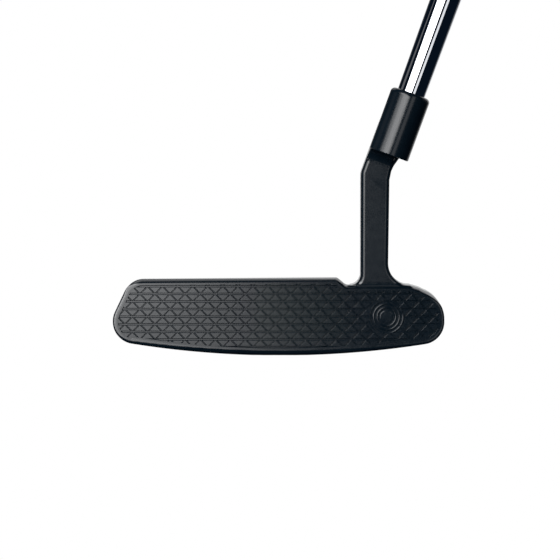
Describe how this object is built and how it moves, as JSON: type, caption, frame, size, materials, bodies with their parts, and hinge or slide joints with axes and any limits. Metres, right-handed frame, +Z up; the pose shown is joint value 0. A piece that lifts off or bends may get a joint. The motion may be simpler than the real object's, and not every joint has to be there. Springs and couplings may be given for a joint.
{
  "type": "blade putter",
  "caption": "Right-handed heel-toe blade putter with a plumber's neck, milled lattice face, screw-in sole weights, two-part shaft and pistol grip.",
  "frame": {"origin": "centre of the flat rest pad under the sole plate", "axes": "+Z up, +X towards the heel, the face looks along -Y, the shaft leans towards +X at a 70 degree lie"},
  "size_m": [0.3921, 0.043, 0.8388],
  "materials": {
    "head_finish": "satin black coating on steel",
    "plate_finish": "black anodised",
    "weight_steel": "turned steel",
    "screw_steel": "plated",
    "seal_rubber": "matt",
    "sight_paint": "enamel paint fill",
    "bond": "cured epoxy",
    "plug": "foam plug",
    "shaft_chrome": "dark mirror chrome on steel",
    "ring_chrome": "polished ring",
    "composite": "lacquered carbon composite",
    "tape": "adhesive tape",
    "grip_rubber": "matt textured",
    "cap_plastic": "moulded"
  },
  "bodies": {
    "club": {"head_body": "head_finish", "hosel": "head_finish", "sole_plate": "plate_finish", "sole_plate_gasket": "seal_rubber", "sole_plate_screws": "screw_steel", "sight_line": "sight_paint", "shaft_epoxy": "bond", "tip_plug": "plug", "shaft_tip": "shaft_chrome", "shaft_trim_ring": "ring_chrome", "joint_epoxy": "bond", "shaft_body": "composite", "grip_tape": "tape", "grip": "grip_rubber", "grip_cap": "cap_plastic", "counterweight": "weight_steel", "counterweight_ring": "seal_rubber", "cap_screw": "screw_steel"},
    "toe_ring": {"toe_weight_ring": "seal_rubber"},
    "toe_screw": {"toe_weight": "weight_steel"},
    "heel_ring": {"heel_weight_ring": "seal_rubber"},
    "heel_screw": {"heel_weight": "weight_steel"}
  },
  "joints": [
    {"name": "toe_weight_travel", "type": "slide", "parent": "club", "child": "toe_ring", "axis": [-0.1303, 0, -0.9915], "range_m": [0, 0.009]},
    {"name": "toe_weight_turn", "type": "hinge", "parent": "toe_ring", "child": "toe_screw", "pos_m": [-0.043, 0.0025, 0.00266], "axis": [-0.1303, 0, -0.9915], "range_deg": [0, 3240]},
    {"name": "heel_weight_travel", "type": "slide", "parent": "club", "child": "heel_ring", "axis": [0.1303, 0, -0.9915], "range_m": [0, 0.009]},
    {"name": "heel_weight_turn", "type": "hinge", "parent": "heel_ring", "child": "heel_screw", "pos_m": [0.043, 0.0025, 0.00266], "axis": [0.1303, 0, -0.9915], "range_deg": [0, 3240]}
  ],
  "couplings": [
    {"joint": "toe_weight_turn", "follows": "toe_weight_travel", "rad_per_m": 6283.2},
    {"joint": "heel_weight_turn", "follows": "heel_weight_travel", "rad_per_m": 6283.2}
  ]
}
